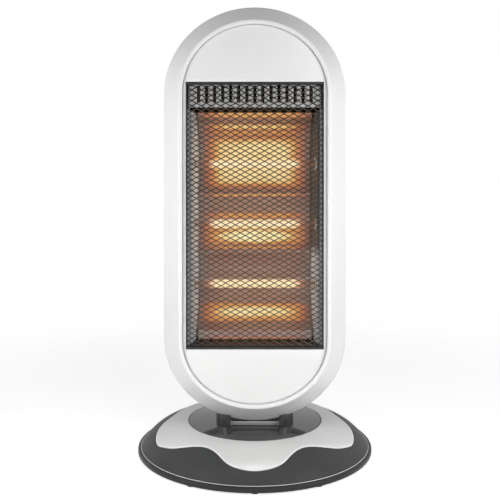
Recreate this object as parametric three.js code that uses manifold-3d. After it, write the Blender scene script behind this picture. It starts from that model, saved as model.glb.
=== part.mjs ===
// Swinging halogen heater with three lamps, on a round base. Millimetres, +Z up, the front faces -Y,
// and the origin is on the floor under the centre of the base.
import * as THREE from "three";
import { mergeVertices } from "three/addons/utils/BufferGeometryUtils.js";
import Module from "manifold-3d";

const wasm = await Module();
wasm.setup();

// ---- driving sizes ----
const baseRadius = 139; // outer lip of the base
const headHalfWidth = 105.7; // widest part of the head
const headBottom = 41;
const headTop = 521.5;
const ringFront = -49; // crest of the front ring
const shellBack = 62; // flat back of the head

// ---- clearances and walls ----
const gap = 0.3; // between two pieces that touch in real life
const play = 0.5; // between pieces that move past each other
const plastic = 2.2; // wall of the moulded covers
const sheet = 0.8; // folded sheet metal
const past = 5; // how far a cutting shape runs past what it cuts

// ---- base ----
const footHeight = 3;
const footCount = 12;
const footRadius = 4.5;
const footCircle = baseRadius - 6; // circle that the feet stand on
const lipRadius = baseRadius - 4; // inside of the lip that hangs down round the plate
const lipBottom = footHeight / 2;
const plateFloorTop = footHeight + 1.5;
const plateRimInner = baseRadius - 8.6;
const plateRimTop = footHeight + 4.2;
const skirtRadius = baseRadius - 4.4; // foot of the dome
const skirtBottom = plateRimTop + gap;
const skirtRise = 0.6; // upright edge at the foot of the dome
const discRadius = baseRadius - 59.8;
const wellRadius = discRadius + 1.1; // round well that the disc turns in
const domeTop = 33;
const domeWall = 2;
const domeShoulder = 0.92; // share of the dome's fall that comes late, as a steep shoulder near its foot
const wellFloorTop = domeTop - 2.4;
const wellFloorBottom = wellFloorTop - 2.6;
const trimThickness = 1.2;
const trimRadius = baseRadius - 14; // reach of the front tongue
// How far the trim's edge is cut back from that reach, by degrees from the front:
// tongue, notch, lobe, narrow ring.
const trimEdge = [
  [0, 0], [9, 2.1], [14.5, 5.8], [21, 14.4], [26, 19.2], [32, 21.1], [38, 18.2], [44, 12.7], [50, 7.4],
  [57, 4], [63, 2.2], [70, 4.2], [78, 8.6], [86, 14.8], [94, 21.4], [102, 24.6], [115, 25],
];
const screwShank = 1.9;
const screwHead = 3.6;
const screwCircle = baseRadius - 21;
const screwSpots = [30, 150, 270].map((degrees) => {
  const angle = THREE.MathUtils.degToRad(degrees);
  return [screwCircle * Math.cos(angle), screwCircle * Math.sin(angle)];
});
const glandZ = 14.7; // middle of the gland in the rear edge
const glandOuter = 5.2;
const glandInner = 3.4;
const glandEnd = baseRadius - 5;
const glandFlange = baseRadius - 35; // its flange, inside the shell
const terminalMiddle = baseRadius - 60;
const terminalPitch = 14;
const terminalTop = 17;

// ---- turning parts under the head ----
const discBottom = wellFloorTop + 0.4;
const discTop = domeTop + 1.6;
const discEdge = 0.8;
const tubeOuter = 14;
const tubeInner = 11;
const tubeBottom = wellFloorTop - 10;
const tubeTop = headBottom + 25;
const bushTop = wellFloorTop + 0.1;
const bushFlangeTop = wellFloorBottom - gap;
const bushFlangeBottom = bushFlangeTop - 0.6;
const leverArm = 26;
const leverThickness = 2;
const leverTop = bushFlangeBottom - gap;
const leverBottom = leverTop - leverThickness;
const leverWidth = 9;
const linkWidth = 8;
const linkTop = leverBottom - gap;
const linkBottom = linkTop - leverThickness;
const pinRadius = 2;
const swingDegrees = 35;
const crankThrow = leverArm * Math.sin(THREE.MathUtils.degToRad(swingDegrees));
const crankTop = linkBottom - 0.7;
const crankBottom = crankTop - leverThickness;
const motorCentre = new THREE.Vector2(73 - baseRadius, leverArm);
const motorRadius = 25;
const motorShaft = 3.5;
const motorBottom = plateFloorTop + play;
const motorTop = crankBottom - 0.8;

// ---- tip-over switch ----
const plungerAt = [0, 43 - baseRadius];
const plungerRadius = 4;
const plungerTravel = 4;
const plungerChamfer = 1.4;
const flangeRadius = plungerRadius + 2;
const flangeThickness = 1.6;
const tipBodyHalf = 11;
const tipBodyDepth = 8;
const tipFloor = plateFloorTop + gap;
const tipTop = tipFloor + 15.2;
const flangeSeat = tipFloor + play;
const flangeBottom = flangeSeat + plungerTravel + gap;

// ---- head outline ----
const upperCentre = headTop - 100.5; // heights where the straight sides end
const lowerCentre = headBottom + 95;
const upperRise = headTop - upperCentre;
const lowerDrop = lowerCentre - headBottom;
const ringWidth = 23.1; // from the groove out to the widest part
const ringCrestWidth = 5.8; // the ring's flat crest and its rolled inner edge
const rimY = ringFront + 19; // widest part of the head
const ringBack = rimY + 6;
const panelFront = ringFront + 4;
const panelThickness = 2.5;
const panelBack = panelFront + panelThickness;
const arcSteps = 22;
const backHalfWidth = 49.7; // half width of the flat back
const backInset = headHalfWidth - backHalfWidth;
const neckHalfWidth = 45.5;
const neckFront = ringFront + 14.5;
const neckBack = shellBack - 18;
const neckTop = headBottom + 23;
const neckRounding = 16;
const neckRecessHalfWidth = 28.5;
const neckRecessDepth = 8;
const neckSillTop = discTop + 3.8;
const neckSillDepth = 6.5;

// ---- window ----
const windowHalfWidth = headHalfWidth - ringWidth - 3.75;
const windowBottom = headBottom + 86.1;
const windowTop = headTop - 88.7;
const frameWall = 2;
const frameFront = panelFront + 0.6;
const frameBack = panelFront + 9;
const insideFrame = windowHalfWidth - frameWall - 2 * gap;
const grilleFront = panelFront + 4.4;
const grilleThickness = 1;
const grilleBack = grilleFront + grilleThickness;
const grilleBottom = windowBottom + frameWall + 2 * gap;
const grilleTop = windowTop - frameWall - 2 * gap;
const grilleBorder = 2.4;
const cellWidth = 21.5;
const cellHeight = 13.4;
const strand = 1.6;
const ventFront = grilleBack + 1;
const ventBack = ventFront + sheet;
const ventHeight = 26;
const ventTop = grilleTop;
const ventBottom = ventTop - ventHeight;
const slotCount = 15;
const slotMargin = 11.57; // from the plate's end to the middle of the first slot
const slotPitch = (2 * (insideFrame - slotMargin)) / (slotCount - 1);
const slotWidth = 3.8;
const slotHeight = 19.6;
const slotMiddle = ventTop - 10.6;

// ---- lamps, reflector and shields ----
const reflectorHalfWidth = windowHalfWidth - 11.55;
const reflectorTop = windowTop - 31.8;
const reflectorBottom = windowBottom + 5.9;
const lampPitch = 70;
const lampMiddle = (reflectorTop + reflectorBottom) / 2 + 3;
const lampHeights = [lampMiddle + lampPitch, lampMiddle, lampMiddle - lampPitch];
const lampY = panelFront + 20;
const lampRadius = 5;
const lampWall = 0.9;
const lampHalfLength = reflectorHalfWidth + 8.7;
const capCover = 6; // how far a cap reaches over the glass
const capEnd = lampHalfLength + 17;
const capRadius = lampRadius + 2.4;
const capHalfHeight = 8.4;
const capHalfDepth = 6.4;
const lampGap = capRadius + 0.6; // radius of the holes that the caps pass through
const filamentRadius = 0.5;
const coilRadius = 1.5;
const coilPitch = 28;
const coilLength = 22;
const troughFocus = 30; // focal length of the parabolic troughs
const troughSetback = 38; // from the lamp to the bottom of its trough
const reflectorSheet = 1;
const reflectorLip = lampY + 11; // the reflector comes no further forward than this
const heatShieldY = lampY + 45;
const heatShieldHalfWidth = reflectorHalfWidth + 4.7;
const shieldFront = frameBack + gap;
const shieldBack = heatShieldY - gap;
const coverBack = heatShieldY - 4; // rear edge of the top and bottom shields
const bracketX = lampHalfLength + 8;
const bracketFront = lampY - 11;
const bracketBack = lampY + 25;
const bracketMargin = 26; // above the top lamp and below the bottom one
const cutoutRadius = 8;
const cutoutDepth = 7;
const cutoutHeight = reflectorTop - 26;

// ---- rear ----
const rearPlateHeight = headBottom + 131; // middle of the switch plate
const rearPlateHalfWidth = backHalfWidth - 9.7;
const rearPlateHalfHeight = 15;
const rearPlateLip = 2;
const rockerPitch = 24;
const rockerHalfWidth = 7;
const rockerHalfHeight = 10.5;
const rockerReach = 5.4; // from its axis out to its raised end
const rockerAxisY = shellBack - 5;
const rockerTilt = 8;
const handleHeight = headTop - 91.5; // middle of the hand hold
const handleHalfWidth = backHalfWidth - 7.7;
const handleHalfHeight = 15;
const handleDepth = 26;
const handleLip = 3;
const rearScrewX = backHalfWidth - 19.7;
const rearScrewShank = 2;
const rearScrewHead = 3.8;
const rearScrews = [rearPlateHeight - 52, handleHeight - 28]
  .flatMap((z) => [[-rearScrewX, z], [rearScrewX, z]]);
const louvreRows = 9;
const louvreBottom = rearPlateHeight + 60;
const louvreTop = handleHeight - 62;
const louvreMiddle = 22; // from the centre line to the middle of each column
const louvreHalfLength = 17;
const louvreHalfHeight = 2.6;

const object = new THREE.Group();
object.name = "halogen_heater";

// ---- materials ----
const paint = (name, color, metalness, roughness, extra = {}) =>
  Object.assign(new THREE.MeshStandardMaterial({ color, metalness, roughness, ...extra }), { name });
const silver = paint("silver_plastic", 0xd9dad8, 0.1, 0.35);
const grey = paint("grey_plastic", 0x6a6c6c, 0.05, 0.35);
const discGrey = paint("disc_plastic", 0x828584, 0.05, 0.3);
const black = paint("black_plastic", 0x1c1c1d, 0, 0.5);
const blackWire = paint("black_enamel", 0x161616, 0.4, 0.4);
const brightSteel = paint("bright_steel", 0xc9c8c4, 0.95, 0.15);
const zinc = paint("zinc_steel", 0x9a9c9c, 0.85, 0.4);
const ceramic = paint("ceramic", 0xe6e0d2, 0, 0.7);
const glowGlass = paint("lamp_quartz", 0xfff0c0, 0, 0.1, { transparent: true, opacity: 0.45 });
const glowWire = paint("lamp_filament", 0xffe08a, 0, 0.5, { emissive: 0xffc860 });
const white = paint("white_plastic", 0xe8e8e4, 0, 0.5);

// ---- helpers ----
function solidOf(geometry) {
  const bare = new THREE.BufferGeometry();
  const flat = geometry.index ? geometry.toNonIndexed() : geometry;
  bare.setAttribute("position", flat.getAttribute("position"));
  const merged = mergeVertices(bare, 1e-4);
  return new wasm.Manifold(
    new wasm.Mesh({
      numProp: 3,
      vertProperties: merged.attributes.position.array,
      triVerts: new Uint32Array(merged.index.array),
    }),
  );
}

function geometryOf(solid) {
  const mesh = solid.getMesh();
  const geometry = new THREE.BufferGeometry();
  geometry.setAttribute("position", new THREE.BufferAttribute(new Float32Array(mesh.vertProperties), 3));
  geometry.setIndex(new THREE.BufferAttribute(new Uint32Array(mesh.triVerts), 1));
  const flat = geometry.toNonIndexed();
  flat.computeVertexNormals();
  return flat;
}

const join = (...pieces) => geometryOf(wasm.Manifold.union(pieces.map(solidOf)));

function cut(body, ...tools) {
  return geometryOf(solidOf(body).subtract(wasm.Manifold.union(tools.map(solidOf))));
}

const common = (one, other) => geometryOf(solidOf(one).intersect(solidOf(other)));

function add(name, geometry, material) {
  const mesh = new THREE.Mesh(geometry, material);
  mesh.name = name;
  object.add(mesh);
  return mesh;
}

const box = (x0, x1, y0, y1, z0, z1) =>
  new THREE.BoxGeometry(x1 - x0, y1 - y0, z1 - z0).translate((x0 + x1) / 2, (y0 + y1) / 2, (z0 + z1) / 2);

// Round solid about Z from [radius, height] pairs that run anticlockwise.
// Ring solids close on themselves.
function turned(profile, segments = 48, closed = true) {
  const points = profile.map(([r, z]) => new THREE.Vector2(r, z));
  if (closed) points.push(points[0].clone());
  return new THREE.LatheGeometry(points, segments).rotateX(Math.PI / 2).rotateZ(Math.PI / 2);
}

const rod = (radius, z0, z1, segments = 24) =>
  turned([[0, z0], [radius, z0], [radius, z1], [0, z1]], segments, false);
const pipe = (outer, inner, z0, z1, segments = 32) =>
  turned([[inner, z0], [outer, z0], [outer, z1], [inner, z1]], segments);

// The same shapes along X (from x0 to x1) or along Y (from y0 to y1).
const alongX = (geometry) => geometry.rotateY(Math.PI / 2);
const alongY = (geometry) => geometry.rotateX(-Math.PI / 2);

// A flat outline of [x, y] pairs drawn up from z0 to z1.
function prism(outline, z0, z1, holes = []) {
  const shape = new THREE.Shape(outline.map(([x, y]) => new THREE.Vector2(x, y)));
  shape.holes = holes.map((hole) => new THREE.Path(hole.map(([x, y]) => new THREE.Vector2(x, y))));
  return new THREE.ExtrudeGeometry(shape, { depth: z1 - z0, bevelEnabled: false }).translate(0, 0, z0);
}

// A flat outline of [x, z] pairs that faces the front, from y0 back to y1.
const frontPrism = (outline, y0, y1, holes) =>
  prism(outline, -y1, -y0, holes).rotateX(Math.PI / 2);

// An outline of [y, z] pairs drawn out along X from x0 to x1.
const sidePrism = (outline, x0, x1) => prism(outline, x0, x1).rotateX(Math.PI / 2).rotateZ(Math.PI / 2);

function arc(cx, cy, radius, from, to, steps) {
  return Array.from({ length: steps + 1 }, (_, i) => {
    const angle = THREE.MathUtils.degToRad(from + ((to - from) * i) / steps);
    return [cx + radius * Math.cos(angle), cy + radius * Math.sin(angle)];
  });
}

function roundedRect(x0, x1, y0, y1, radius, steps = 4) {
  return [
    ...arc(x1 - radius, y0 + radius, radius, -90, 0, steps),
    ...arc(x1 - radius, y1 - radius, radius, 0, 90, steps),
    ...arc(x0 + radius, y1 - radius, radius, 90, 180, steps),
    ...arc(x0 + radius, y0 + radius, radius, 180, 270, steps),
  ];
}

// The head's outline, inset by a distance from its widest line: [x, z] pairs.
function headOutline(inset) {
  const half = headHalfWidth - inset;
  const end = (centre, rise, from) =>
    Array.from({ length: arcSteps + 1 }, (_, i) => {
      const angle = from + (Math.PI * i) / arcSteps;
      return [half * Math.cos(angle), centre + rise * Math.sin(angle)];
    });
  return [
    ...end(upperCentre, upperRise - inset, 0),
    ...end(lowerCentre, lowerDrop - inset, Math.PI),
  ];
}

// A skin through head outlines at [depth, inset] stations, from front to back:
// capped at both ends, or a closed ring.
function headLoft(stations, isRing = false) {
  const rows = stations.map(([y, inset]) => headOutline(inset).map(([x, z]) => [x, y, z]));
  const count = rows[0].length;
  const positions = rows.flat(2);
  const indices = [];
  const bands = isRing ? rows.length : rows.length - 1;
  for (let r = 0; r < bands; r++) {
    const here = r * count;
    const next = ((r + 1) % rows.length) * count;
    for (let i = 0; i < count; i++) {
      const j = (i + 1) % count;
      indices.push(here + i, next + i, here + j, here + j, next + i, next + j);
    }
  }
  if (!isRing) {
    for (const [row, isFront] of [[0, true], [rows.length - 1, false]]) {
      const flat = rows[row].map(([x, , z]) => new THREE.Vector2(x, z));
      for (const [a, b, c] of THREE.ShapeUtils.triangulateShape(flat, []))
        indices.push(row * count + a, row * count + (isFront ? b : c), row * count + (isFront ? c : b));
    }
  }
  const geometry = new THREE.BufferGeometry();
  geometry.setAttribute("position", new THREE.BufferAttribute(new Float32Array(positions), 3));
  geometry.setIndex(indices);
  return geometry.toNonIndexed();
}

// The back of the head: inset at a depth, a quarter of a superellipse that ends in the flat back.
function shellInset(y) {
  const t = Math.max(0, (y - ringBack) / (shellBack - ringBack));
  return backInset * (1 - Math.pow(1 - Math.pow(t, 2.6), 1 / 1.7));
}

const shellDepths = [0, 0.25, 0.45, 0.62, 0.77, 0.88, 0.96, 1];

function shellStations(outset, y0, y1) {
  return shellDepths.map((t) => {
    const y = ringBack + t * (shellBack - ringBack);
    return [y0 + t * (y1 - y0), shellInset(y) - outset];
  });
}

// ---- base: plate, dome, trim ----
const domeHeight = (radius) => {
  const t = (radius - wellRadius) / (skirtRadius - wellRadius);
  return domeTop - (domeTop - skirtBottom - skirtRise) * ((1 - domeShoulder) * t + domeShoulder * t ** 3);
};

function makeBasePlate() {
  const disc = turned([
    [0, footHeight],
    [lipRadius, footHeight],
    [lipRadius + 0.4, lipBottom],
    [baseRadius - 1, lipBottom],
    [baseRadius, lipBottom + 0.8],
    [baseRadius, plateRimTop - 2],
    [baseRadius - 0.8, plateRimTop - 0.6],
    [baseRadius - 2.3, plateRimTop],
    [plateRimInner, plateRimTop],
    [plateRimInner, plateFloorTop],
    [0, plateFloorTop],
  ], 60, false);
  const feet = Array.from({ length: footCount }, (_, i) =>
    rod(footRadius, 0, footHeight + play, 8)
      .translate(footCircle, 0, 0)
      .rotateZ((i * 2 * Math.PI) / footCount + Math.PI / 2),
  );
  const plungerHole = rod(plungerRadius + play, -past, plateFloorTop + past, 16).translate(...plungerAt, 0);
  const screwHole = ([x, y]) => rod(screwShank + gap, -past, plateFloorTop + past, 12).translate(x, y, 0);
  return cut(join(disc, ...feet), plungerHole, ...screwSpots.map(screwHole));
}

function makeBaseShell() {
  const steps = 8;
  const outer = Array.from({ length: steps + 1 }, (_, i) => {
    const radius = skirtRadius + ((wellRadius - skirtRadius) * i) / steps;
    return [radius, domeHeight(radius)];
  });
  const innerFrom = wellRadius - domeWall;
  const innerTo = skirtRadius - 3 * domeWall;
  const inner = Array.from({ length: steps }, (_, i) => {
    const radius = innerFrom + ((innerTo - innerFrom) * (i + 1)) / steps;
    return [radius, domeHeight(radius + domeWall) - domeWall];
  });
  const wellHole = tubeOuter + 3.3;
  return turned([
    [skirtRadius, skirtBottom],
    ...outer,
    [wellRadius, wellFloorTop],
    [wellHole, wellFloorTop],
    [wellHole, wellFloorBottom],
    [innerFrom, wellFloorBottom],
    ...inner,
    [skirtRadius - domeWall, skirtBottom],
  ], 60);
}

// The trim seen from above, with the same edge on both sides.
function trimOutline() {
  const curve = new THREE.SplineCurve(trimEdge.map(([degrees, depth]) => new THREE.Vector2(degrees, depth)));
  const side = curve.getPoints(2 * (trimEdge.length - 1));
  const last = side[side.length - 1];
  const steps = 8;
  for (let i = 1; i <= steps; i++) {
    side.push(new THREE.Vector2(last.x + ((180 - last.x) * i) / steps, last.y));
  }
  const mirrored = side.slice(1, -1).reverse().map(({ x, y }) => new THREE.Vector2(-x, y));
  return [...side, ...mirrored].map(({ x, y }) => {
    const angle = THREE.MathUtils.degToRad(x - 90);
    return [(trimRadius - y) * Math.cos(angle), (trimRadius - y) * Math.sin(angle)];
  });
}

function makeTrim() {
  const steps = 6;
  const innermost = wellRadius + gap;
  const outermost = trimRadius + 3;
  const band = (lift) =>
    Array.from({ length: steps + 1 }, (_, i) => {
      const radius = innermost + ((outermost - innermost) * i) / steps;
      return [radius, domeHeight(radius) + lift];
    });
  const skin = turned([...band(gap), ...band(gap + trimThickness).reverse()], 60);
  return common(skin, prism(trimOutline(), 0, domeTop + past));
}

const gland = (radius, y0, y1, segments = 24) =>
  alongY(rod(radius, y0, y1, segments)).translate(0, 0, glandZ);
const glandHole = gland(glandOuter + gap, glandFlange - 8, glandEnd + past);
add("base_plate", makeBasePlate(), black);
add("base_shell", cut(makeBaseShell(), glandHole), grey);
add("base_trim", makeTrim(), silver);
add("cord_gland", cut(
  join(
    gland(glandOuter, glandFlange - 2, glandEnd),
    gland(glandOuter + 1, glandFlange - 5, glandFlange - 1.5),
  ),
  gland(glandInner, glandFlange - 10, glandEnd + past),
), black);

const screwBottom = footHeight - 1.8;
screwSpots.forEach(([x, y], i) => {
  add(`base_screw_${i + 1}`, join(
    rod(screwShank, screwBottom, plateFloorTop + 3.5, 10),
    rod(screwHead, screwBottom, footHeight - gap, 12),
  ).translate(x, y, 0), zinc);
});

// ---- base: electrical parts ----
function makeTerminalBlock() {
  const towersX = [-terminalPitch, 0, terminalPitch];
  const bottom = plateFloorTop + gap;
  const y = terminalMiddle;
  const towers = towersX.map((x) => box(x - 5.5, x + 5.5, y - 9, y + 9, bottom, terminalTop));
  const halfLength = terminalPitch + 7;
  const body = join(box(-halfLength, halfLength, y - 6, y + 6, bottom, terminalTop - 5), ...towers);
  return cut(body, ...towersX.map((x) => rod(2, terminalTop - 5, terminalTop + past, 12).translate(x, y, 0)));
}
add("terminal_block", makeTerminalBlock(), white);

const motorLug = motorRadius + 8;
add("swing_motor", join(
  rod(motorRadius, motorBottom, motorTop, 40),
  rod(motorShaft, motorTop - 1, crankBottom - gap, 16),
  box(-motorLug, motorLug, -6, 6, motorTop - 3, motorTop - 1.6),
).translate(motorCentre.x, motorCentre.y, 0), zinc);

// A flat bar with round ends.
function bar(from, to, width, z0, z1) {
  const [dx, dy] = [to[0] - from[0], to[1] - from[1]];
  const length = Math.hypot(dx, dy);
  const half = width / 2;
  const outline = [...arc(0, 0, half, 90, 270, 10), ...arc(length, 0, half, -90, 90, 10)];
  return prism(outline, z0, z1).rotateZ(Math.atan2(dy, dx)).translate(from[0], from[1], 0);
}

const crankTip = [motorCentre.x, motorCentre.y + crankThrow];
const leverPin = [0, leverArm];
const linkHole = ([x, y]) => rod(pinRadius + play, linkBottom - past, linkTop + past, 16).translate(x, y, 0);
add("crank", join(
  bar([motorCentre.x, motorCentre.y], crankTip, leverWidth, crankBottom, crankTop),
  rod(pinRadius, crankTop - play, linkBottom - gap, 12).translate(...crankTip, 0),
), white);
add("drive_link", cut(
  bar(crankTip, leverPin, linkWidth, linkBottom, linkTop),
  linkHole(leverPin),
  linkHole(crankTip),
), white);

// The plunger's flange rests in a wider bore, so it can drop by its travel and no further.
add("tip_switch_body", cut(
  box(-tipBodyHalf, tipBodyHalf, -tipBodyDepth, tipBodyDepth, tipFloor, tipTop),
  rod(plungerRadius + play, tipFloor - past, flangeSeat + 1, 16),
  rod(flangeRadius + play, flangeSeat, tipTop - 3.5, 16),
).translate(...plungerAt, 0), black);
add("tip_plunger", turned([
  [0, 0],
  [plungerRadius - plungerChamfer, 0],
  [plungerRadius, plungerChamfer],
  [plungerRadius, flangeBottom],
  [flangeRadius, flangeBottom],
  [flangeRadius, flangeBottom + flangeThickness],
  [0, flangeBottom + flangeThickness],
], 16, false).translate(...plungerAt, 0), white);

add("pivot_bush", turned([
  [tubeOuter + gap, bushFlangeBottom],
  [tubeOuter + 9, bushFlangeBottom],
  [tubeOuter + 9, bushFlangeTop],
  [tubeOuter + 3, bushFlangeTop],
  [tubeOuter + 3, bushTop],
  [tubeOuter + gap, bushTop],
], 36), white);

// ---- turning group: disc, tube, lever, nut, neck ----
add("swivel_disc", turned([
  [tubeOuter + gap, discBottom],
  [discRadius, discBottom],
  [discRadius, discTop - discEdge],
  [discRadius - discEdge, discTop],
  [tubeOuter + gap, discTop],
], 60), discGrey);
add("pivot_tube", pipe(tubeOuter, tubeInner, tubeBottom, tubeTop, 36), zinc);
const tubeHole = (z0, z1) => rod(tubeOuter + gap, z0, z1, 36);
add("swing_lever", join(
  cut(
    join(
      rod(tubeOuter + 6, leverBottom, leverTop, 36),
      bar([0, 0], leverPin, leverWidth, leverBottom, leverTop),
    ),
    tubeHole(leverBottom - past, leverTop + past),
  ),
  rod(pinRadius, linkBottom + 0.2, leverBottom + play, 12).translate(...leverPin, 0),
), zinc);
add("tube_nut", cut(
  rod(tubeOuter + 3.8, tubeBottom + 0.4, leverBottom - gap, 6),
  tubeHole(tubeBottom - past, leverTop),
), zinc);

// The ring's sloping face, from its flat crest out to the widest line, as [depth, inset].
const ringCrestInset = ringWidth - 2.6;
const ringSlopeInset = ringWidth - ringCrestWidth;
function ringSlope(wall) {
  const steps = 4;
  return Array.from({ length: steps + 1 }, (_, i) => {
    const t = i / steps;
    const depth = ringFront + wall + (rimY - ringFront - wall) * t ** 1.2;
    return [depth, wall + (ringSlopeInset - wall) * (1 - t) ** 0.9];
  });
}

// What the neck must stay clear of: the head, grown by a gap.
const headEnvelope = headLoft([
  [ringFront - 1, ringSlopeInset - 1],
  ...ringSlope(-gap - 0.1),
  [ringBack, -gap],
  ...shellStations(gap, ringBack, shellBack + gap).slice(1),
]);
function makeNeck() {
  const outline = roundedRect(-neckHalfWidth, neckHalfWidth, neckFront, neckBack, neckRounding, 6);
  const recess = (depth, z0, z1) =>
    box(-neckRecessHalfWidth, neckRecessHalfWidth, neckFront - past, neckFront + depth, z0, z1);
  return cut(
    prism(outline, discTop + gap, neckTop),
    tubeHole(discTop - past, neckTop + past),
    recess(neckRecessDepth, neckSillTop, neckTop + past),
    recess(neckSillDepth, discTop, neckSillTop + 0.1),
    headEnvelope,
  );
}
add("neck_column", makeNeck(), black);

// ---- head: ring and panel ----
const ringInnerBack = panelFront + 6.5;
const ringStations = [
  [ringInnerBack, ringWidth],
  [ringFront + 1.6, ringWidth],
  [ringFront + 0.5, ringWidth - 0.5],
  [ringFront, ringWidth - 1.6],
  ...ringSlope(0),
  [ringBack - gap / 2, 0],
  [ringBack - gap / 2, plastic],
  ...ringSlope(plastic).reverse(),
  [ringFront + plastic, ringCrestInset],
  [ringInnerBack, ringCrestInset],
];
add("front_ring", headLoft(ringStations, true), silver);

const panelInset = ringWidth + gap;
const rectangle = (half, bottom, top) => [[-half, bottom], [half, bottom], [half, top], [-half, top]];
add("front_panel", frontPrism(headOutline(panelInset), panelFront, panelBack, [
  rectangle(windowHalfWidth, windowBottom, windowTop),
]), silver);

const frameOutline = (inset) => rectangle(windowHalfWidth - inset, windowBottom + inset, windowTop - inset);
const frameOpening = frameOutline(gap + frameWall);
add("window_frame", frontPrism(frameOutline(gap), frameFront, frameBack, [frameOpening]), black);

// ---- window: grille, vent plate ----
// Rows of diamonds, every second row moved half a cell, and none cut by the border.
function diamonds() {
  const holes = [];
  const half = [cellWidth / 2 - strand, cellHeight / 2 - strand * 0.55];
  const middle = (grilleBottom + grilleTop) / 2;
  const rows = Math.floor((grilleTop - grilleBottom - 2 * grilleBorder) / cellHeight) * 2 - 1;
  const columns = Math.ceil(insideFrame / cellWidth);
  for (let row = 0; row < rows; row++) {
    const z = middle + (row - (rows - 1) / 2) * (cellHeight / 2);
    const shift = row % 2 ? cellWidth / 2 : 0;
    for (let column = -columns; column <= columns; column++) {
      const x = column * cellWidth + shift;
      if (Math.abs(x) + half[0] > insideFrame - grilleBorder + 0.01) continue;
      holes.push([[x - half[0], z], [x, z - half[1]], [x + half[0], z], [x, z + half[1]]]);
    }
  }
  return holes;
}
const grilleOutline = rectangle(insideFrame, grilleBottom, grilleTop);
add("grille", frontPrism(grilleOutline, grilleFront, grilleBack, diamonds()), blackWire);

const ventSlots = Array.from({ length: slotCount }, (_, i) => {
  const x = (i - (slotCount - 1) / 2) * slotPitch;
  const [halfWidth, halfHeight] = [slotWidth / 2, slotHeight / 2];
  return roundedRect(x - halfWidth, x + halfWidth, slotMiddle - halfHeight, slotMiddle + halfHeight, 1.2, 1);
});
const ventOutline = rectangle(insideFrame, ventBottom, ventTop);
add("vent_plate", frontPrism(ventOutline, ventFront, ventBack, ventSlots), zinc);

// ---- reflector and shields ----
// Depth of the reflector at a height: each lamp has its parabolic trough.
function reflectorDepth(z) {
  const away = Math.min(...lampHeights.map((height) => Math.abs(z - height)));
  return Math.max(reflectorLip, lampY + troughSetback - (away * away) / (4 * troughFocus));
}
const reflectorSteps = 33;
const reflectorFace = Array.from({ length: reflectorSteps + 1 }, (_, i) => {
  const z = reflectorBottom + ((reflectorTop - reflectorBottom) * i) / reflectorSteps;
  return [reflectorDepth(z), z];
});
const reflectorRear = reflectorFace.map(([y, z]) => [y + reflectorSheet, z]).reverse();
const reflectorOutline = [...reflectorFace, ...reflectorRear];
add("reflector", sidePrism(reflectorOutline, -reflectorHalfWidth, reflectorHalfWidth), brightSteel);

// A flange behind the window frame, then a wall back to the reflector's end.
function makeSideShield(side) {
  const flangeOuter = insideFrame - 0.6;
  const flangeInner = insideFrame - 3.7;
  const bendX = reflectorHalfWidth + 3.1;
  const bendY = lampY + 3;
  const outline = [
    [flangeOuter, shieldFront],
    [flangeInner, shieldFront],
    [bendX, bendY],
    [reflectorHalfWidth + gap, shieldBack],
    [reflectorHalfWidth + gap + sheet, shieldBack],
    [bendX + sheet, bendY],
    [flangeInner + sheet, shieldFront + sheet],
    [flangeOuter, shieldFront + sheet],
  ].map(([x, y]) => [x * side, y]);
  if (side > 0) outline.reverse();
  const holes = lampHeights.map((z) => alongX(rod(lampGap, -capEnd, capEnd, 16)).translate(0, lampY, z));
  return cut(prism(outline, reflectorBottom, reflectorTop), ...holes);
}
add("side_shield_left", makeSideShield(-1), brightSteel);
add("side_shield_right", makeSideShield(1), brightSteel);

const topShieldFront = ventBottom + 1;
const topShieldBack = reflectorTop + 1.4;
add("top_shield", sidePrism([
  [ventBack + gap, topShieldFront],
  [ventBack + gap, topShieldFront + sheet],
  [coverBack, topShieldBack + sheet],
  [coverBack, topShieldBack],
], -insideFrame, insideFrame), black);
const bottomShieldFront = reflectorBottom - 2.6;
const bottomShieldBack = reflectorBottom - 1.4;
add("bottom_shield", sidePrism([
  [grilleBack + gap, bottomShieldFront],
  [coverBack, bottomShieldBack],
  [coverBack, bottomShieldBack - sheet],
  [grilleBack + gap, bottomShieldFront - sheet],
], -insideFrame, insideFrame), brightSteel);
add("heat_shield", box(
  -heatShieldHalfWidth, heatShieldHalfWidth,
  heatShieldY, heatShieldY + sheet,
  reflectorBottom + 6, reflectorTop - 6,
), zinc);

// ---- lamps ----
function makeCap() {
  return cut(
    join(
      alongX(rod(capRadius, lampHalfLength - capCover, capEnd, 14)),
      box(lampHalfLength + 1, capEnd - 2, -capHalfDepth, capHalfDepth, -capHalfHeight, capHalfHeight),
    ),
    alongX(rod(lampRadius + gap, lampHalfLength - capCover - past, lampHalfLength + gap, 14)),
    alongX(rod(filamentRadius + 0.35, lampHalfLength - past, capEnd + past, 8)),
  );
}

// A thin wire with wider coils spaced along it.
function makeFilament() {
  const tail = lampHalfLength + 3;
  const coilsEnd = lampHalfLength - capCover;
  const profile = [[0, -tail], [filamentRadius, -tail]];
  for (let x = -coilsEnd; x + coilLength + 2 < coilsEnd; x += coilPitch) {
    profile.push([filamentRadius, x], [coilRadius, x + 1]);
    profile.push([coilRadius, x + 1 + coilLength], [filamentRadius, x + 2 + coilLength]);
  }
  profile.push([filamentRadius, tail], [0, tail]);
  return alongX(turned(profile, 6, false));
}

lampHeights.forEach((z, i) => {
  const number = i + 1;
  const at = (geometry) => geometry.translate(0, lampY, z);
  const tube = pipe(lampRadius, lampRadius - lampWall, -lampHalfLength, lampHalfLength, 14);
  add(`lamp_tube_${number}`, at(alongX(tube)), glowGlass);
  add(`filament_${number}`, at(makeFilament()), glowWire);
  add(`lamp_cap_left_${number}`, at(makeCap().rotateZ(Math.PI)), ceramic);
  add(`lamp_cap_right_${number}`, at(makeCap()), ceramic);
});

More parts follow.
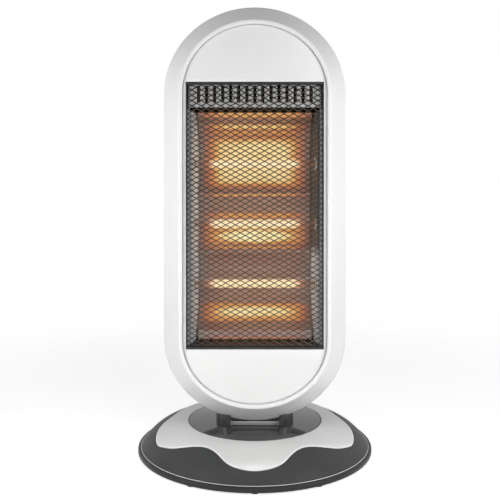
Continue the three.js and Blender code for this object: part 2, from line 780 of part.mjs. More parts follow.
function makeBracket(x) {
  const sideGap = capRadius + gap;
  const endGap = capHalfHeight + gap;
  const [bottom, top] = [lampHeights[2] - bracketMargin, lampHeights[0] + bracketMargin];
  return cut(
    box(x - sheet / 2, x + sheet / 2, bracketFront, bracketBack, bottom, top),
    ...lampHeights.map((z) => box(-capEnd, capEnd, lampY - sideGap, lampY + sideGap, z - endGap, z + endGap)),
  );
}
add("lamp_bracket_left", makeBracket(-bracketX), zinc);
add("lamp_bracket_right", makeBracket(bracketX), zinc);
add("thermal_cutout", join(
  rod(cutoutRadius, 0, cutoutDepth, 20),
  box(-cutoutRadius - 4, cutoutRadius + 4, -4, 4, 0, 1.2),
).rotateX(-Math.PI / 2).translate(0, heatShieldY + sheet + gap, cutoutHeight), black);

// ---- rear cover, hand hold, switches ----
const backFront = shellBack - 8; // where the cuts through the flat back start
const handOutline = (grow, rounding) => roundedRect(-handleHalfWidth - grow, handleHalfWidth + grow,
  handleHeight - handleHalfHeight - grow, handleHeight + handleHalfHeight + grow, rounding);
function switchOutline(grow, rounding, steps = 2) {
  const [halfWidth, halfHeight] = [rearPlateHalfWidth + grow, rearPlateHalfHeight + grow];
  const [bottom, top] = [rearPlateHeight - halfHeight, rearPlateHeight + halfHeight];
  return roundedRect(-halfWidth, halfWidth, bottom, top, rounding, steps);
}

function makeRearShell() {
  const outside = headLoft(shellStations(0, ringBack + gap / 2, shellBack));
  const inside = headLoft(shellStations(-plastic, ringBack - past, shellBack - plastic));
  const through = (outline) => frontPrism(outline, backFront, shellBack + past);
  const louvre = (x, z) => through(roundedRect(
    x - louvreHalfLength, x + louvreHalfLength,
    z - louvreHalfHeight, z + louvreHalfHeight, 2.2, 1,
  ));
  const louvres = Array.from({ length: louvreRows }, (_, row) =>
    louvreBottom + ((louvreTop - louvreBottom) * row) / (louvreRows - 1),
  ).flatMap((z) => [louvre(-louvreMiddle, z), louvre(louvreMiddle, z)]);
  const screwHoles = rearScrews.map(([x, z]) =>
    alongY(rod(rearScrewShank + gap, backFront, shellBack + past, 12)).translate(x, 0, z));
  return cut(
    cut(outside, inside),
    tubeHole(headBottom - past, tubeTop + past),
    through(handOutline(gap, 8)),
    through(switchOutline(gap, 3)),
    ...louvres,
    ...screwHoles,
  );
}
add("rear_shell", makeRearShell(), grey);

// A tray whose open side faces back, with a lip outside the cover.
const trayFront = shellBack - handleDepth;
add("hand_hold", cut(
  join(
    frontPrism(handOutline(0, 8), trayFront, shellBack + play),
    frontPrism(handOutline(handleLip, 10), shellBack + gap, shellBack + 1.6),
  ),
  frontPrism(handOutline(-plastic, 6), trayFront + plastic, shellBack + past),
), black);

const plateBack = shellBack - plastic - 2;
const rockerX = (i) => (i - 1) * rockerPitch;
const rockerHole = (i) => box(
  rockerX(i) - rockerHalfWidth - play, rockerX(i) + rockerHalfWidth + play,
  plateBack - past, shellBack + past,
  rearPlateHeight - rockerHalfHeight - play, rearPlateHeight + rockerHalfHeight + play,
);
add("switch_plate", cut(
  join(
    frontPrism(switchOutline(0, 3), plateBack, shellBack + play),
    frontPrism(switchOutline(rearPlateLip, 4, 3), shellBack + gap, shellBack + 1.2),
  ),
  ...[0, 1, 2].map(rockerHole),
), black);

// A rocker leans about an axis across it: upper half in, lower half out at rest.
const rockerOutline = [
  [-5, rockerHalfHeight - 3.5],
  [rockerReach, rockerHalfHeight - 1.2],
  [rockerReach - 1.2, 0],
  [rockerReach, 1.2 - rockerHalfHeight],
  [-5, 3.5 - rockerHalfHeight],
];
for (let i = 0; i < 3; i++) {
  add(`rocker_${i + 1}`, sidePrism(rockerOutline, -rockerHalfWidth, rockerHalfWidth)
    .rotateX(THREE.MathUtils.degToRad(rockerTilt))
    .translate(rockerX(i), rockerAxisY, rearPlateHeight), black);
}

rearScrews.forEach(([x, z], i) => {
  add(`rear_screw_${i + 1}`, join(
    alongY(rod(rearScrewShank, backFront - 1, shellBack + 0.8, 10)),
    alongY(rod(rearScrewHead, shellBack + gap, shellBack + 1.7, 14)),
  ).translate(x, 0, z), zinc);
});

export default object;
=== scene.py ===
"""Looks of the halogen heater: finishes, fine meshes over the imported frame, studio light and camera."""
import math
from functools import partial

import bmesh
import bpy
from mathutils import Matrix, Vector


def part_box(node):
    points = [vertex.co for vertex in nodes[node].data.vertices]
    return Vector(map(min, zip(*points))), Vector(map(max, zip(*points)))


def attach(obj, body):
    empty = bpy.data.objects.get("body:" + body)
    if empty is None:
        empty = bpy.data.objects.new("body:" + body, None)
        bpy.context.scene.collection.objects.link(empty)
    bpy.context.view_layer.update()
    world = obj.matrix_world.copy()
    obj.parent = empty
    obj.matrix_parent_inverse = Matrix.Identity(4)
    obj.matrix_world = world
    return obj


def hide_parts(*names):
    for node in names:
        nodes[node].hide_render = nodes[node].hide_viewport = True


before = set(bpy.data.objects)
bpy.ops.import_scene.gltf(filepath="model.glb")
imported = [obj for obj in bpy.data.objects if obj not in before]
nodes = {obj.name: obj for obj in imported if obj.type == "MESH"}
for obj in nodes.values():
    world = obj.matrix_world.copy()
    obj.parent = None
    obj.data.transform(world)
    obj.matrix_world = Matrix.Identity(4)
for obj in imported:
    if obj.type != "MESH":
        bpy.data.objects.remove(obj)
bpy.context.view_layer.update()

MM = 0.001

# ---- sizes, in metres, taken from the frame where it has them ----
ring_low, ring_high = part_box("front_ring")
shell_low, shell_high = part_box("rear_shell")
panel_low, panel_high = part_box("front_panel")
HALF_WIDTH = ring_high.x
HEAD_BOTTOM, HEAD_TOP = ring_low.z, ring_high.z
RING_FRONT, RING_BACK = ring_low.y, ring_high.y
SHELL_FRONT, SHELL_BACK = shell_low.y, shell_high.y
PANEL_FRONT, PANEL_BACK = panel_low.y, panel_high.y
UPPER_CENTRE, LOWER_CENTRE = 421 * MM, 136 * MM  # where the straight sides end
RING_WIDTH = 23.1 * MM  # from the head's outline in to the panel
RIM_Y = -30 * MM  # depth at which the hoop's slope ends at its widest line
WALL = 2.2 * MM
WINDOW_HALF = 78.85 * MM
WINDOW_BOTTOM, WINDOW_TOP = 127.1 * MM, 432.8 * MM
GAP = 0.3 * MM


def middle_of(name):
    """The middle of a CAD piece's box."""
    low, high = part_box(name)
    return [(a + b) / 2 for a, b in zip(low, high)]


# ---- nodes ----


def node_material(name):
    material = bpy.data.materials.new(name)
    material.use_nodes = True
    tree = material.node_tree
    return material, tree, tree.nodes["Principled BSDF"]


def feed(tree, socket, value):
    """Links another node's output to a socket, or sets a plain value there."""
    if isinstance(value, bpy.types.NodeSocket):
        tree.links.new(value, socket)
    else:
        socket.default_value = value


def set_inputs(tree, node, **values):
    """Feeds a node's inputs by name, in which an underscore stands for a space."""
    for name, value in values.items():
        feed(tree, node.inputs[name.replace("_", " ")], value)


def add_node(tree, kind, **values):
    """A new node with its settings and inputs."""
    node = tree.nodes.new(kind)
    for name, value in values.items():
        if hasattr(node, name):
            setattr(node, name, value)
        else:
            set_inputs(tree, node, **{name: value})
    return node


def math_node(tree, operation, *values, clamp=False):
    """The result of a calculation on plain numbers and other nodes' outputs."""
    node = add_node(tree, "ShaderNodeMath", operation=operation, use_clamp=clamp)
    for socket, value in zip(node.inputs, values):
        feed(tree, socket, value)
    return node.outputs[0]


def map_range(tree, value, to_min, to_max, from_min=0.0, from_max=1.0, **settings):
    """A value carried over from one range to another."""
    node = add_node(tree, "ShaderNodeMapRange", Value=value, From_Min=from_min, From_Max=from_max,
                    To_Min=to_min, To_Max=to_max, **settings)
    return node.outputs["Result"]


MIX_FACTOR, MIX_FIRST, MIX_SECOND, MIX_RESULT = 0, 6, 7, 2  # the Mix node's sockets when it mixes colours


def mix_colors(tree, factor, first, second):
    node = add_node(tree, "ShaderNodeMix", data_type="RGBA")
    for index, value in ((MIX_FACTOR, factor), (MIX_FIRST, first), (MIX_SECOND, second)):
        feed(tree, node.inputs[index], value)
    return node.outputs[MIX_RESULT]


def object_place(tree):
    """A point's place in the object's own coordinates, so that what hangs on it stays put on a piece."""
    return add_node(tree, "ShaderNodeTexCoord").outputs["Object"]


def object_axes(tree):
    return add_node(tree, "ShaderNodeSeparateXYZ", Vector=object_place(tree)).outputs


def noise(tree, scale, detail=3.0, stretch=None):
    place = object_place(tree)
    if stretch:
        place = add_node(tree, "ShaderNodeMapping", Vector=place, Scale=stretch).outputs["Vector"]
    return add_node(tree, "ShaderNodeTexNoise", Vector=place, Scale=scale, Detail=detail).outputs["Fac"]


def ramp(tree, factor, stops):
    """Colour ramp through (position, colour) stops."""
    node = tree.nodes.new("ShaderNodeValToRGB")
    elements = node.color_ramp.elements
    while len(elements) < len(stops):
        elements.new(0.5)
    for element, (position, color) in zip(elements, stops):
        element.position = position
        element.color = (*color[:3], 1)
    tree.links.new(factor, node.inputs["Fac"])
    return node.outputs["Color"]


def clouded(tree, cloud, first, second):
    """One colour that goes over into another with a noise, which lies mostly between 0.3 and 0.7."""
    return ramp(tree, cloud, [(0.3, first), (0.7, second)])


# ---- finishes ----
GRAIN_DEPTH = 0.2 * MM
COAT_ROUGHNESS = 0.12
SMOOTHEST, ROUGHEST = 0.88, 1.14  # shares of a finish's roughness


def finish_of(name, color, rough, spread=0.04, scale=35, metallic=0.0, coat=0.0, grain=0.0, grain_scale=900,
              specular=0.5):
    """A moulded, painted or metal surface, a little uneven in colour and roughness, with a fine grain."""
    material, tree, shader = node_material(name)
    low = [channel * (1 - spread) for channel in color]
    high = [min(1, channel * (1 + spread)) for channel in color]
    uneven = map_range(tree, noise(tree, scale * 3), rough * SMOOTHEST, min(1, rough * ROUGHEST))
    set_inputs(tree, shader, Base_Color=clouded(tree, noise(tree, scale), low, high), Roughness=uneven,
               Metallic=metallic, Coat_Weight=coat, Coat_Roughness=COAT_ROUGHNESS,
               Specular_IOR_Level=specular)
    if grain:
        bump = add_node(tree, "ShaderNodeBump", Strength=grain, Distance=GRAIN_DEPTH,
                        Height=noise(tree, grain_scale, detail=2))
        set_inputs(tree, shader, Normal=bump.outputs["Normal"])
    return material


SILVER = finish_of("silver_paint", (0.80, 0.80, 0.795), 0.40, spread=0.012, metallic=0.15, coat=0.15,
                   grain=0.04, grain_scale=2600)
TRIM = finish_of("silver_trim", (0.72, 0.72, 0.715), 0.34, spread=0.012, metallic=0.1, coat=0.15,
                 grain=0.04, grain_scale=2600)
DOME = finish_of("dome_grey", (0.054, 0.055, 0.056), 0.44, spread=0.06, grain=0.10, grain_scale=1500,
                 specular=0.12)
# painted highlight: a near-white finish for the bead on the trim's rolled edge
TRIM_HIGHLIGHT = finish_of("trim_highlight_bead", (0.93, 0.93, 0.93), 0.30, spread=0.012, coat=0.2, grain=0.02)
LIP = finish_of("lip_black", (0.020, 0.020, 0.021), 0.40, spread=0.08, grain=0.12, grain_scale=1500,
                specular=0.25)
# painted highlight: a light-grey finish for the bead along the lip's edge
RIM_HIGHLIGHT = finish_of("rim_highlight_line", (0.85, 0.85, 0.85), 0.3, spread=0.05, grain=0.05)
DISC = finish_of("disc_grey", (0.05, 0.052, 0.052), 0.10, spread=0.04, grain=0.01, specular=0.6)
BLACK = finish_of("black_moulding", (0.022, 0.022, 0.022), 0.5, spread=0.1, grain=0.2)
NECK = finish_of("neck_black", (0.020, 0.020, 0.021), 0.24, spread=0.08, coat=0.3, grain=0.04)
REAR = finish_of("rear_grey", (0.13, 0.132, 0.133), 0.5, spread=0.05, grain=0.45, grain_scale=1300)
REAR_BLACK = finish_of("rear_black", (0.025, 0.025, 0.026), 0.42, spread=0.08, grain=0.3)
ROCKER = finish_of("rocker_black", (0.02, 0.02, 0.021), 0.3, spread=0.08, coat=0.2, grain=0.05)
ENAMEL = finish_of("black_enamel", (0.018, 0.018, 0.018), 0.36, spread=0.1, metallic=0.2, grain=0.1)
WIRE = finish_of("mesh_enamel", (0.048, 0.039, 0.031), 0.36, spread=0.3, metallic=0.4)
STRIP = finish_of("strip_steel", (0.40, 0.40, 0.41), 0.42, spread=0.1, metallic=0.2, grain=0.08)
VENT = finish_of("vent_steel", (0.46, 0.46, 0.46), 0.42, spread=0.1, metallic=0.3, grain=0.08)
# near-black and matte; the top shield in it gives the dark band under the vent strip
DEEP_BLACK = finish_of("deep_black", (0.006, 0.006, 0.006), 0.8, spread=0.1, grain=0.1, specular=0.1)
ZINC = finish_of("zinc_plate", (0.55, 0.56, 0.55), 0.36, spread=0.1, scale=80, metallic=0.9, grain=0.1)
SILL = finish_of("neck_sill_grey", (0.26, 0.26, 0.26), 0.25, spread=0.06, coat=0.2, grain=0.03)
CERAMIC = finish_of("ceramic", (0.80, 0.77, 0.70), 0.7, spread=0.05, scale=120, grain=0.4, grain_scale=1800)
NYLON = finish_of("white_nylon", (0.72, 0.72, 0.69), 0.45, spread=0.03, grain=0.1)


def fade_along(tree, stops):
    """A colour ramp over the distance to the left or right of the middle, in metres."""
    return ramp(tree, math_node(tree, "ABSOLUTE", object_axes(tree)["X"]), stops)


def filament_material():
    """Tungsten wire: white hot where it is coiled and dark in the straight ends."""
    material, tree, shader = node_material("lamp_filament")
    heat = fade_along(tree, [(0.050, (1.0, 0.93, 0.78)), (0.054, (0.20, 0.05, 0.01)),
                             (0.060, (0.03, 0.01, 0.005))])
    metal = clouded(tree, noise(tree, 900), (0.10, 0.10, 0.11), (0.20, 0.20, 0.20))
    set_inputs(tree, shader, Emission_Color=heat, Emission_Strength=1.9, Base_Color=metal, Metallic=0.8,
               Roughness=0.4)
    return material


def quartz_material():
    """Clear tube, full of light where the coil is lit and dull at its ends."""
    material, tree, shader = node_material("lamp_quartz")
    light = fade_along(tree, [(0.046, (1.0, 0.76, 0.42)), (0.053, (0.62, 0.22, 0.07)),
                              (0.060, (0.22, 0.07, 0.03))])
    cover = fade_along(tree, [(0.046, (0.55, 0.55, 0.55)), (0.056, (0.12, 0.12, 0.12))])
    set_inputs(tree, shader, Emission_Color=light, Emission_Strength=0.9, Base_Color=(0.12, 0.10, 0.09, 1),
               Alpha=cover, Roughness=map_range(tree, noise(tree, 200), 0.05, 0.14))
    return material


def shield_material():
    """Bright sheet, painted shade along its fold, a dull flange outside it, and painted shade on the right
    sheet's upper half.
    """
    material, tree, shader = node_material("shield_steel")
    # painted shade: the dark stripe between the sheet and the flange stands for the shade in the fold
    sheet = fade_along(tree, [(0.0706, (0.84, 0.94, 1.0)), (0.0712, (0.02, 0.02, 0.02)),
                              (0.0722, (0.02, 0.02, 0.02)), (0.0727, (0.42, 0.42, 0.43))])
    axes = object_axes(tree)
    # painted shade: the right sheet goes dark over its upper half
    upper = map_range(tree, axes["Z"], 0.0, 0.92, from_min=0.232, from_max=0.246)
    right = math_node(tree, "GREATER_THAN", axes["X"], 0.0)
    painted_shade = math_node(tree, "MULTIPLY", upper, right)
    set_inputs(tree, shader, Base_Color=mix_colors(tree, painted_shade, sheet, (0.03, 0.035, 0.04, 1)),
               Roughness=map_range(tree, noise(tree, 120, stretch=(1, 1, 0.2)), 0.35, 0.55))
    return material


FILAMENT = filament_material()
QUARTZ = quartz_material()
SHIELD = shield_material()

# ---- mesh tools ----
SHARP = 35  # degrees; edges with a greater angle stay crisp
ON_AXIS = 1e-7  # a smaller radius lies on the axis


def radians_of(*degrees):
    return [math.radians(angle) for angle in degrees]


def circle(count):
    """Angles at equal steps around a circle."""
    return [2 * math.pi * i / count for i in range(count)]


def mesh_object(name, vertices, faces, material, sharp=SHARP):
    mesh = bpy.data.meshes.new(name)
    mesh.from_pydata([tuple(v) for v in vertices], [], faces)
    repair = bmesh.new()
    repair.from_mesh(mesh)
    bmesh.ops.recalc_face_normals(repair, faces=repair.faces)
    repair.to_mesh(mesh)
    repair.free()
    mesh.materials.append(material)
    obj = bpy.data.objects.new(name, mesh)
    bpy.context.scene.collection.objects.link(obj)
    soften(obj, sharp)
    return obj


def soften(obj, sharp):
    for polygon in obj.data.polygons:
        polygon.use_smooth = True
    obj.data.set_sharp_from_angle(angle=math.radians(sharp))


def bake_modifiers(obj, sharp=SHARP):
    """Puts the object's modifiers into its mesh."""
    evaluated = obj.evaluated_get(bpy.context.evaluated_depsgraph_get())
    mesh = bpy.data.meshes.new_from_object(evaluated)
    obj.modifiers.clear()
    obj.data = mesh
    soften(obj, sharp)


def subtract(obj, cutters, sharp=SHARP):
    for cutter in cutters:
        modifier = obj.modifiers.new("cut", "BOOLEAN")
        modifier.operation = "DIFFERENCE"
        modifier.solver = "EXACT"
        modifier.object = cutter
    bake_modifiers(obj, sharp)
    for cutter in cutters:
        bpy.data.objects.remove(cutter)


def bevel(obj, width, segments=2, angle=40):
    modifier = obj.modifiers.new("bevel", "BEVEL")
    modifier.width = width
    modifier.segments = segments
    modifier.limit_method = "ANGLE"
    modifier.angle_limit = math.radians(angle)
    modifier.harden_normals = False
    bake_modifiers(obj)


def loft(name, rows, material, ring=False, sharp=SHARP):
    """A skin through rows of points with the same count: capped, or closed into a ring."""
    count = len(rows[0])
    vertices = [point for row in rows for point in row]
    faces = []
    bands = len(rows) if ring else len(rows) - 1
    for r in range(bands):
        here, there = r * count, ((r + 1) % len(rows)) * count
        for i in range(count):
            j = (i + 1) % count
            faces.append((here + i, here + j, there + j, there + i))
    if not ring:
        faces.append(tuple(range(count)))
        faces.append(tuple(range((len(rows) - 1) * count, len(rows) * count)))
    return mesh_object(name, vertices, faces, material, sharp)


def turned(name, profile, material, segments=144, sharp=SHARP):
    """A body of revolution about Z from (radius, height) pairs; a radius of 0 closes it on the axis."""
    vertices, faces, rows = [], [], []
    for radius, height in profile:
        if radius < ON_AXIS:
            rows.append([len(vertices)] * segments)
            vertices.append((0, 0, height))
            continue
        rows.append(list(range(len(vertices), len(vertices) + segments)))
        for angle in circle(segments):
            vertices.append((radius * math.cos(angle), radius * math.sin(angle), height))
    starts_on_axis = profile[0][0] < ON_AXIS
    for r in range(len(rows) - 1 if starts_on_axis else len(rows)):
        a, b = rows[r], rows[(r + 1) % len(rows)]
        for i in range(segments):
            j = (i + 1) % segments
            corners = list(dict.fromkeys((a[i], a[j], b[j], b[i])))
            if len(corners) > 2:
                faces.append(tuple(corners))
    return mesh_object(name, vertices, faces, material, sharp)


def rounded_rect(x0, x1, z0, z1, radius, steps=6):
    points = []
    for cx, cz, start in ((x1 - radius, z0 + radius, -90), (x1 - radius, z1 - radius, 0),
                          (x0 + radius, z1 - radius, 90), (x0 + radius, z0 + radius, 180)):
        for i in range(steps + 1):
            angle = math.radians(start + 90 * i / steps)
            points.append((cx + radius * math.cos(angle), cz + radius * math.sin(angle)))
    return points


def front_prism(name, outline, y0, y1, material):
    """An outline of (x, z) pairs drawn from depth y0 to y1."""
    return loft(name, [[(x, y, z) for x, z in outline] for y in (y0, y1)], material)


def box_piece(name, low, high, material):
    outline = [(low[0], low[2]), (high[0], low[2]), (high[0], high[2]), (low[0], high[2])]
    return front_prism(name, outline, low[1], high[1], material)


def head_outline(inset, steps=56):
    """The head's outline, inset from its widest line, as (x, z) pairs."""
    half = HALF_WIDTH - inset
    points = []
    for centre, rise, start in ((UPPER_CENTRE, HEAD_TOP - UPPER_CENTRE - inset, 0),
                                (LOWER_CENTRE, LOWER_CENTRE - HEAD_BOTTOM - inset, math.pi)):
        for i in range(steps + 1):
            angle = start + math.pi * i / steps
            points.append((half * math.cos(angle), centre + rise * math.sin(angle)))
    return points


def head_rows(stations):
    """The head's outline at each (depth, inset)."""
    return [[(x, y, z) for x, z in head_outline(inset)] for y, inset in stations]


def dress(obj, body, *replaced, slot):
    """Sets which body a piece rides on and which CAD pieces it stands in for; its slot is not used."""
    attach(obj, body)
    if replaced:
        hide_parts(*replaced)


def repaint(material, *names):
    for name in names:
        obj = nodes[name]
        obj.data.materials.clear()
        obj.data.materials.append(material)


# ---- head: hoop, panel, rear cover ----


def make_hoop():
    """A sloping face that ends in a narrow crest, with a rolled edge down to the panel."""
    steps, bow_inward, bow_back = 12, 0.97, 1.03  # the bows are powers; 1 would make the slope straight
    slope_inset, crest, roll, turn = RING_WIDTH - 4.3 * MM, RING_WIDTH - 2.2 * MM, 1.2 * MM, 0.9 * MM
    turn_depth = 0.35  # share of the turn
    outer, chamfer = 0.45 * MM, 0.5 * MM
    back = PANEL_FRONT + 6.5 * MM

    def slope(wall):
        for i in range(steps + 1):
            t = i / steps
            inset = outer + wall + (slope_inset - outer - wall) * (1 - t) ** bow_inward
            yield RING_FRONT + wall + (RIM_Y - RING_FRONT - wall) * t**bow_back, inset

    quarter = radians_of(0, 22, 45, 67, 90)
    lip = [(RING_FRONT + (1 - math.sin(a)) * roll, RING_WIDTH - roll * (1 - math.cos(a))) for a in quarter]
    edge = [(RING_FRONT + turn * (1 - math.cos(a)) * turn_depth, slope_inset + turn * (1 - math.sin(a)))
            for a in quarter]
    stations = [
        (back, RING_WIDTH),
        *lip,
        *edge,
        *list(slope(0))[1:],
        (RING_BACK - chamfer, outer),
        (RING_BACK, outer + chamfer),
        (RING_BACK, outer + WALL),
        *reversed(list(slope(WALL))),
        (RING_FRONT + WALL, crest),
        (back, crest),
    ]
    hoop = loft("hoop", head_rows(stations), SILVER, ring=True, sharp=50)
    dress(hoop, "head", "front_ring", slot="silver_front")


def make_panel():
    border, fall, beyond = 3.4 * MM, 1.5 * MM, 10 * MM
    edge = [(PANEL_FRONT + fall * (1 - math.cos(a)), RING_WIDTH + GAP + border * (1 - math.sin(a)))
            for a in radians_of(0, 15, 30, 45, 60, 75, 90)]
    stations = [*edge, (PANEL_BACK, RING_WIDTH + GAP)]
    panel = loft("panel", head_rows(stations), SILVER, sharp=30)
    hole = box_piece("hole", (-WINDOW_HALF, PANEL_FRONT - beyond, WINDOW_BOTTOM),
                     (WINDOW_HALF, PANEL_BACK + beyond, WINDOW_TOP), SILVER)
    subtract(panel, [hole])
    bevel(panel, 0.5 * MM, angle=50)
    dress(panel, "head", "front_panel", slot="silver_front")


BACK_INSET = 56 * MM


def shell_inset(t):
    """How far the rear cover has drawn in at a share of its depth, along a superellipse."""
    return BACK_INSET * (1 - (1 - t**2.6) ** (1 / 1.7))


def shell_rows(outset, y0, y1, steps=28):
    stations = []
    for i in range(steps + 1):
        t = math.sin(math.pi / 2 * i / steps) ** 0.8
        stations.append((y0 + t * (y1 - y0), shell_inset(min(1, t)) - outset))
    return head_rows(stations)


def make_rear_cover():
    """A hollow back with holes under the hand hold and the switch plate, and two columns of louvres."""
    front, back = SHELL_BACK - 8 * MM, SHELL_BACK + 5 * MM
    cover = loft("rear_cover", shell_rows(0, SHELL_FRONT, SHELL_BACK), REAR)
    inside = loft("inside", shell_rows(-WALL, SHELL_FRONT - 5 * MM, SHELL_BACK - WALL), REAR)

    def cutter(name, x0, x1, z0, z1, corner, steps):
        return front_prism(name, rounded_rect(x0, x1, z0, z1, corner, steps), front, back, REAR)

    cutters = [inside]
    for name, piece, lip, play, corner in (("hold", "hand_hold", 3.3 * MM, GAP * 2, 8 * MM),
                                           ("plate", "switch_plate", 2.3 * MM, GAP, 3 * MM)):
        low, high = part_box(piece)
        cutters.append(cutter(name, low.x + lip - play, high.x - lip + play, low.z + lip - play,
                              high.z - lip + play, corner, 6))
    rows, lowest, pitch = 9, 232, 17  # the last two in mm
    half_length, half_height, corner = 17 * MM, 2.6 * MM, 2.5 * MM
    for row in range(rows):
        for x in (-22 * MM, 22 * MM):
            z = (lowest + row * pitch) * MM
            cutters.append(cutter("louvre", x - half_length, x + half_length, z - half_height,
                                  z + half_height, corner, 5))
    subtract(cover, cutters, sharp=30)
    dress(cover, "head", "rear_shell", slot="rear_grey")


# ---- window: frame, mesh, slotted strip ----
MESH_MARGIN = 1.7 * MM  # how far the mesh reaches into the frame's groove
BOX_CORNERS = ((-1, -1), (1, -1), (1, 1), (-1, 1))
BOX_FACES = ((0, 1, 2, 3), (4, 7, 6, 5), (0, 4, 5, 1), (1, 5, 6, 2), (2, 6, 7, 3), (3, 7, 4, 0))


def make_frame():
    """A black frame with narrow sides, and a steel strip behind the mesh along each side."""
    low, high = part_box("window_frame")
    side, end, beyond = 1.0 * MM, 2.4 * MM, 1 * MM
    surround = box_piece("frame", low, high, ENAMEL)
    hole = box_piece("hole", (low.x + side, low.y - beyond, low.z + end),
                     (high.x - side, high.y + beyond, high.z - end), ENAMEL)
    subtract(surround, [hole])
    bevel(surround, 0.35 * MM, segments=3)
    dress(surround, "head", "window_frame", slot="window_black")
    mesh_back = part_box("grille")[1].y
    width, front, back, below_top = 3.0 * MM, mesh_back + 0.2 * MM, mesh_back + 0.7 * MM, 28.5 * MM
    for edge, name in ((low.x + side, "left"), (high.x - side, "right")):
        inward = width if edge < 0 else -width
        x0, x1 = sorted((edge, edge + inward))
        strip = box_piece(f"frame_strip_{name}", (x0, front, low.z + end), (x1, back, high.z - below_top),
                          STRIP)
        bevel(strip, 0.1 * MM)
        dress(strip, "head", slot="window_black")


def make_mesh():
    """Expanded metal: short flat strands, a little twisted, that meet in knuckles."""
    low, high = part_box("grille")
    low.x, high.x = low.x - MESH_MARGIN, high.x + MESH_MARGIN
    columns, rows = 28, 99
    step_x, step_z = (high.x - low.x) / columns, (high.z - low.z) / rows
    middle = (low.y + high.y) / 2
    length = math.hypot(step_x, step_z)
    half_width, half_depth, overlap, edge = 0.43 * MM, 0.42 * MM, 0.45 * MM, 0.3 * MM
    twist = math.radians(24)
    out = Vector((0, 1, 0))
    vertices, faces = [], []
    for i in range(columns):
        for j in range(rows + 1):
            if (i + j) % 2:
                continue
            for up in (-1, 1):
                if not 0 <= j + up <= rows:
                    continue
                start = Vector((low.x + i * step_x, middle, low.z + j * step_z))
                along = Vector((step_x, 0, up * step_z)) / length
                flat = Vector((-along.z, 0, along.x))
                side = flat * math.cos(twist) + out * math.sin(twist)
                thick = out * math.cos(twist) - flat * math.sin(twist)
                a, b = start - along * overlap, start + along * (length + overlap)
                a.x, b.x = max(a.x, low.x), min(b.x, high.x)
                a.z, b.z = (min(max(p.z, low.z + edge), high.z - edge) for p in (a, b))
                base = len(vertices)
                for point in (a, b):
                    for s, t in BOX_CORNERS:
                        corner = point + side * (s * half_width) + thick * (t * half_depth)
                        corner.x = min(max(corner.x, low.x), high.x)
                        corner.y = min(max(corner.y, low.y), high.y)
                        vertices.append(corner)
                for face in BOX_FACES:
                    faces.append(tuple(base + corner for corner in face))
    dress(mesh_object("mesh", vertices, faces, WIRE), "head", "grille", slot="grille_black")


def make_vent():
    """The strip above the mirror with a row of tall slots."""
    low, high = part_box("vent_plate")
    count, slot_width, slot_height, middle = 15, 3.8 * MM, 19.6 * MM, high.z - 10.6 * MM
    corner, beyond, margin = 0.9 * MM, 1 * MM, 11.57 * MM  # the margin is to the outer slots' middles
    pitch = (high.x - low.x - 2 * margin) / (count - 1)
    plate = box_piece("vent_strip", low, high, VENT)
    cutters = []
    for i in range(count):
        x = (i - (count - 1) / 2) * pitch
        outline = rounded_rect(x - slot_width / 2, x + slot_width / 2, middle - slot_height / 2,
                               middle + slot_height / 2, corner, 4)
        cutters.append(front_prism("slot", outline, low.y - beyond, high.y + beyond, VENT))
    subtract(plate, cutters)
    bevel(plate, 0.12 * MM)
    dress(plate, "head", "vent_plate", slot="vent_steel")


# ---- mirror and lamps ----
LAMP_NUMBERS = (1, 2, 3)
LAMP_HEIGHTS = [middle_of(f"lamp_tube_{number}")[2] for number in LAMP_NUMBERS]
LAMP_Y = middle_of("lamp_tube_1")[1]
MIRROR_LOW, MIRROR_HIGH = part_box("reflector")

# Each glow on the mirror is a reflection of a lamp: its middle height, half height and half width in mm, its
# brightness, and whether it is a slab, a block with sharper edges, or an eye that narrows to its ends.
SLAB, BLOCK, EYE = (4.0, 6.0, 1.0), (12.0, 10.0, 1.0), (2.0, 2.0, 3.0)
GLOWS = [
    (398.8, 4.4, 63, 0.68, SLAB),
    (385.2, 3.0, 57, 0.84, SLAB),
    (378.5, 3.6, 60, 0.60, SLAB),
    (343.5, 29.5, 54, 0.90, BLOCK),
    (343.5, 32.5, 60, 0.62, BLOCK),
    (303.6, 1.9, 60, 0.70, SLAB),
    (278.5, 4.2, 60, 0.62, SLAB),
    (264.5, 5.0, 56, 0.82, SLAB),
    (253.4, 9.8, 58, 0.97, EYE),
    (255.5, 13.0, 62, 0.62, BLOCK),
    (240.0, 1.6, 60, 0.62, SLAB),
    (163.0, 7.5, 60, 0.92, EYE),
    (162.5, 8.8, 57, 0.82, SLAB),
    (162.5, 10.5, 62, 0.62, BLOCK),
    (134.4, 1.6, 60, 0.40, SLAB),
]
AMBIENT_GLOW = 0.16  # light that the whole mirror gets back from the lamps
AMBIENT_HALF, AMBIENT_POWER = 66, 8.0  # half width in mm, and how suddenly it ends
GLOW_WOBBLE = 2.4 * MM  # how far the ripples in the sheet shift a glow's edges
# Green and blue as shares of red: one that stays, and one that rises with a power of the brightness.
GLOW_COLORS = (("Green", 0.17, 0.76, 3.1), ("Blue", 0.05, 0.50, 5.0))


